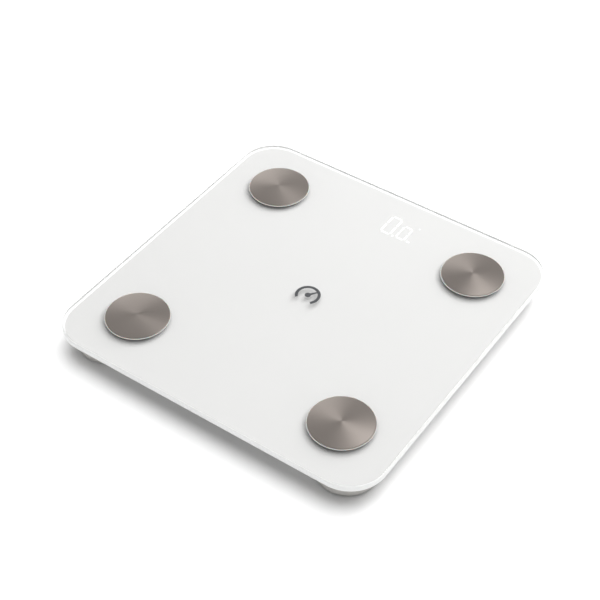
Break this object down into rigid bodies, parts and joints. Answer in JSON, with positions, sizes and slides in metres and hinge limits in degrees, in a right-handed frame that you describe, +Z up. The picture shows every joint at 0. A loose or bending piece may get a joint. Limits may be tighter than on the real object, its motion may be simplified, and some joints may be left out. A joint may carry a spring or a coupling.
{
  "type": "digital bathroom scale",
  "caption": "Low square glass platform scale with round steel electrodes, a back-lit number display, corner load cells on round feet, and a battery bay below.",
  "frame": {"origin": "on the floor, under the middle of the platform", "axes": "+Z up; +Y towards the display edge, away from the user; +X to the right of a user facing the display"},
  "size_m": [0.26, 0.26, 0.024],
  "materials": {
    "clear_glass": "tempered, polished, ground edge",
    "white_print": "screen-printed enamel behind glass",
    "grey_ink": "screen-printed ink",
    "satin_steel": "spun satin finish",
    "plated_steel": "nickel plated",
    "white_abs": "moulded, fine spark texture",
    "foam_tape": "foam",
    "board": "solder mask on fibreglass",
    "diffuser": "milky",
    "chip": "moulded epoxy",
    "battery_sleeve": "plain coloured sleeve",
    "red_sleeve": "PVC sleeve",
    "black_sleeve": "PVC sleeve",
    "blue_sleeve": "PVC sleeve",
    "white_sleeve": "PVC sleeve",
    "button_abs": "moulded",
    "nylon": "moulded",
    "foot_abs": "moulded",
    "foot_rubber": "moulded, matt"
  },
  "bodies": {
    "base": {"glass_platform": "clear_glass", "back_print": "white_print", "dial_emblem": "grey_ink", "base_tray": "white_abs", "bonding_tape": "foam_tape", "main_board": "board", "display_housing": "white_abs", "display_diffuser": "diffuser", "microcontroller": "chip", "radio_module": "plated_steel", "battery_contact_positive": "plated_steel", "battery_contact_front": "plated_steel", "battery_contact_rear": "plated_steel", "battery_contact_negative": "plated_steel", "battery_1": "battery_sleeve", "battery_2": "battery_sleeve", "battery_3": "battery_sleeve", "battery_lead_red": "red_sleeve", "battery_lead_black": "black_sleeve", "unit_switch": "chip", "electrode_front_left": "satin_steel", "electrode_nut_front_left": "plated_steel", "electrode_lead_front_left": "blue_sleeve", "load_cell_front_left": "plated_steel", "load_cell_retainer_front_left": "nylon", "load_cell_lead_front_left": "white_sleeve", "electrode_front_right": "satin_steel", "electrode_nut_front_right": "plated_steel", "electrode_lead_front_right": "blue_sleeve", "load_cell_front_right": "plated_steel", "load_cell_retainer_front_right": "nylon", "load_cell_lead_front_right": "white_sleeve", "electrode_rear_left": "satin_steel", "electrode_nut_rear_left": "plated_steel", "electrode_lead_rear_left": "blue_sleeve", "load_cell_rear_left": "plated_steel", "load_cell_retainer_rear_left": "nylon", "load_cell_lead_rear_left": "white_sleeve", "electrode_rear_right": "satin_steel", "electrode_nut_rear_right": "plated_steel", "electrode_lead_rear_right": "blue_sleeve", "load_cell_rear_right": "plated_steel", "load_cell_retainer_rear_right": "nylon", "load_cell_lead_rear_right": "white_sleeve", "board_screw_1": "plated_steel", "board_screw_2": "plated_steel", "board_screw_3": "plated_steel", "board_screw_4": "plated_steel"},
    "foot_body_front_left": {"foot_front_left": "foot_abs", "foot_pad_front_left": "foot_rubber"},
    "foot_body_front_right": {"foot_front_right": "foot_abs", "foot_pad_front_right": "foot_rubber"},
    "foot_body_rear_left": {"foot_rear_left": "foot_abs", "foot_pad_rear_left": "foot_rubber"},
    "foot_body_rear_right": {"foot_rear_right": "foot_abs", "foot_pad_rear_right": "foot_rubber"},
    "door": {"battery_door": "white_abs"},
    "button": {"unit_button": "button_abs", "unit_switch_plunger": "nylon"}
  },
  "joints": [
    {"name": "foot_press_front_left", "type": "slide", "parent": "base", "child": "foot_body_front_left", "axis": [0, 0, 1], "range_m": [0, 0.0004], "stiffness_N_per_m": 5000, "springref_m": -0.0012},
    {"name": "foot_press_front_right", "type": "slide", "parent": "base", "child": "foot_body_front_right", "axis": [0, 0, 1], "range_m": [0, 0.0004], "stiffness_N_per_m": 5000, "springref_m": -0.0012},
    {"name": "foot_press_rear_left", "type": "slide", "parent": "base", "child": "foot_body_rear_left", "axis": [0, 0, 1], "range_m": [0, 0.0004], "stiffness_N_per_m": 5000, "springref_m": -0.0012},
    {"name": "foot_press_rear_right", "type": "slide", "parent": "base", "child": "foot_body_rear_right", "axis": [0, 0, 1], "range_m": [0, 0.0004], "stiffness_N_per_m": 5000, "springref_m": -0.0012},
    {"name": "battery_door_hinge", "type": "hinge", "parent": "base", "child": "door", "pos_m": [0, -0.0053, 0.0024], "axis": [-1, 0, 0], "range_deg": [0, 75]},
    {"name": "unit_button_press", "type": "slide", "parent": "base", "child": "button", "axis": [0, 0, 1], "range_m": [0, 0.0003], "stiffness_N_per_m": 1500, "springref_m": -0.0003}
  ]
}
